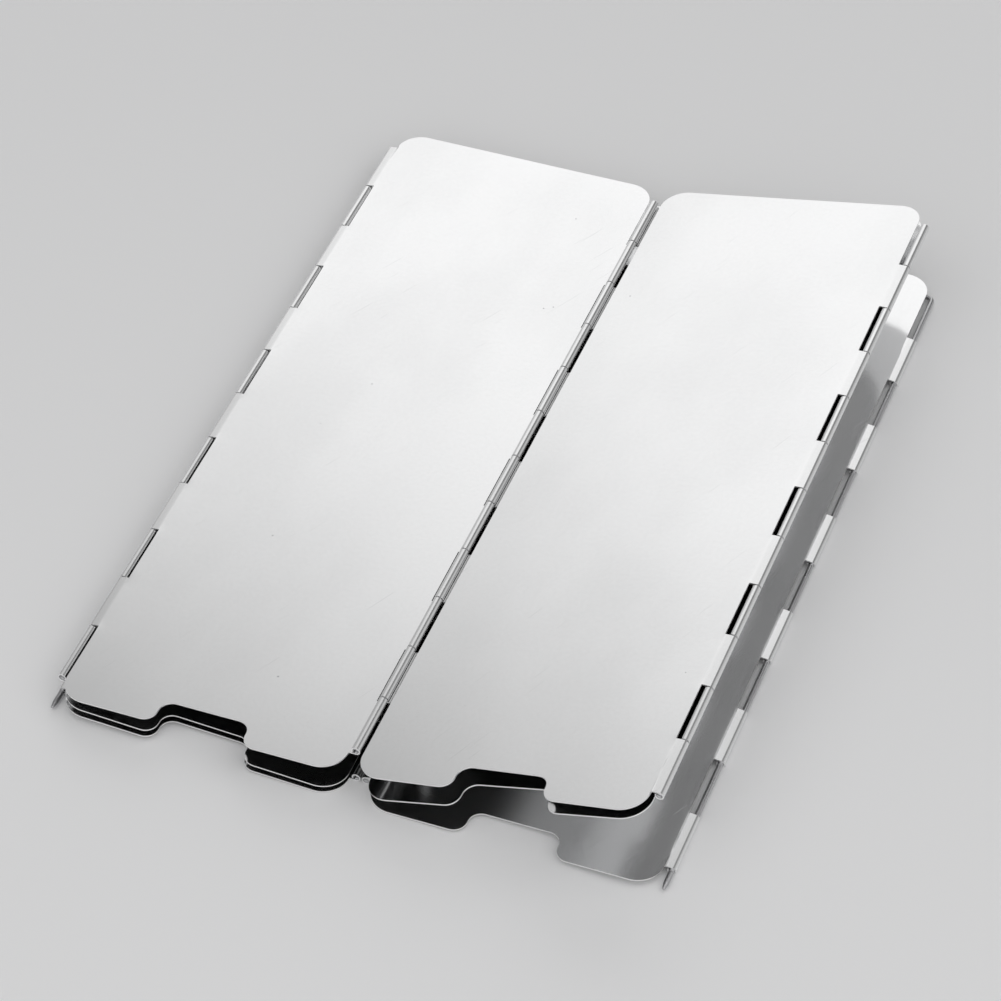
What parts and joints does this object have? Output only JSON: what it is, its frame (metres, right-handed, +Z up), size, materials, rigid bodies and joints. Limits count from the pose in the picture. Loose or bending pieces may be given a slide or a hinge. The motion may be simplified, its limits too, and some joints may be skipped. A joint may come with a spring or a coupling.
{
  "type": "folding stove windscreen",
  "caption": "Folding sheet-metal camp-stove windscreen: notched plates joined by rolled knuckles on wire rods, with a sliding ground stake in each free edge.",
  "frame": {"origin": "on the ground under the middle of the outline, with the screen lying on its back, partly unfolded", "axes": "+X from the left stake to the right stake, +Y up the plates from their notched lower edge, +Z up from the ground"},
  "size_m": [0.1672, 0.24, 0.0284],
  "materials": {
    "plate_sheet": "bright satin",
    "steel_wire": "drawn wire"
  },
  "bodies": {
    "plate_1": {"plate_1": "plate_sheet", "hinge_rod_1": "steel_wire"},
    "plate_2": {"plate_2": "plate_sheet", "hinge_rod_2": "steel_wire"},
    "plate_3": {"plate_3": "plate_sheet", "hinge_rod_3": "steel_wire"},
    "plate_4": {"plate_4": "plate_sheet", "hinge_rod_4": "steel_wire"},
    "plate_5": {"plate_5": "plate_sheet", "hinge_rod_5": "steel_wire"},
    "plate_6": {"plate_6": "plate_sheet"},
    "stake_left": {"stake_left": "steel_wire"},
    "stake_right": {"stake_right": "steel_wire"}
  },
  "joints": [
    {"name": "hinge_2", "type": "hinge", "parent": "plate_3", "child": "plate_2", "pos_m": [-0.08221, 0, 0.00629], "axis": [0, 1, 0], "range_deg": [-4.17, 175.83]},
    {"name": "hinge_1", "type": "hinge", "parent": "plate_2", "child": "plate_1", "pos_m": [-0.00135, 0, 0.0012], "axis": [0, -1, 0], "range_deg": [-0.77, 110.03]},
    {"name": "hinge_3", "type": "hinge", "parent": "plate_3", "child": "plate_4", "pos_m": [-0.00133, 0, 0.01109], "axis": [0, 1, 0], "range_deg": [-169.07, 0]},
    {"name": "hinge_4", "type": "hinge", "parent": "plate_4", "child": "plate_5", "pos_m": [0.07807, 0, 0.02725], "axis": [0, -1, 0], "range_deg": [-4.42, 175.58]},
    {"name": "hinge_5", "type": "hinge", "parent": "plate_5", "child": "plate_6", "pos_m": [0.00135, 0, 0.0012], "axis": [0, 1, 0], "range_deg": [-15.92, 84.08]},
    {"name": "stake_left_slide", "type": "slide", "parent": "plate_1", "child": "stake_left", "axis": [0, -1, 0], "range_m": [0, 0.017]},
    {"name": "stake_right_slide", "type": "slide", "parent": "plate_6", "child": "stake_right", "axis": [0, -1, 0], "range_m": [0, 0.017]}
  ]
}
